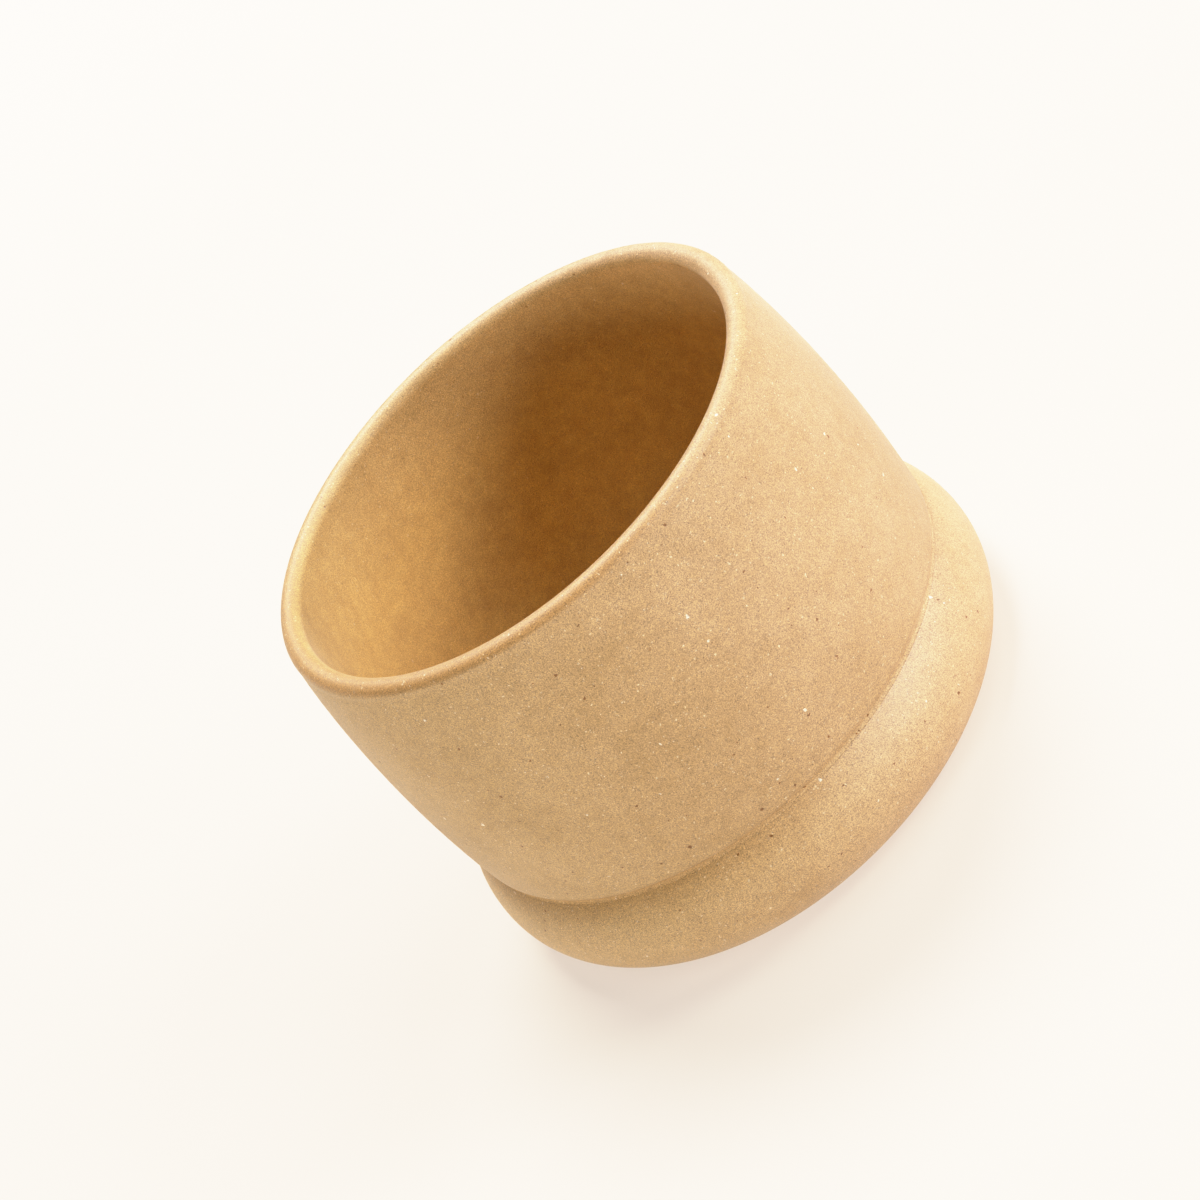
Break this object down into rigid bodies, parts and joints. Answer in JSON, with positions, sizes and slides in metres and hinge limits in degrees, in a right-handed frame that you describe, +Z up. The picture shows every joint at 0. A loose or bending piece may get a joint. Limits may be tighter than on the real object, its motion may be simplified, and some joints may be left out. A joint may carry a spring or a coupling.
{
  "type": "teacup",
  "caption": "Handleless stoneware teacup with a barrel-shaped wall, a rounded lip and a fat foot ring that stands out past the wall, for holding and drinking tea.",
  "frame": {"origin": "on the cup's axis, at the table that the foot stands on", "axes": "+Z up along the cup's axis of revolution, towards the lip"},
  "size_m": [0.088, 0.088, 0.0634],
  "materials": {
    "body_clay": "unglazed, fine-grained, matt to satin",
    "foot_clay": "unglazed, fine-grained, matt to satin",
    "slip_clay": "unglazed, smooth, matt"
  },
  "bodies": {
    "root": {"cup_body": "body_clay", "foot_ring": "foot_clay", "slip_joint": "slip_clay"}
  },
  "joints": []
}
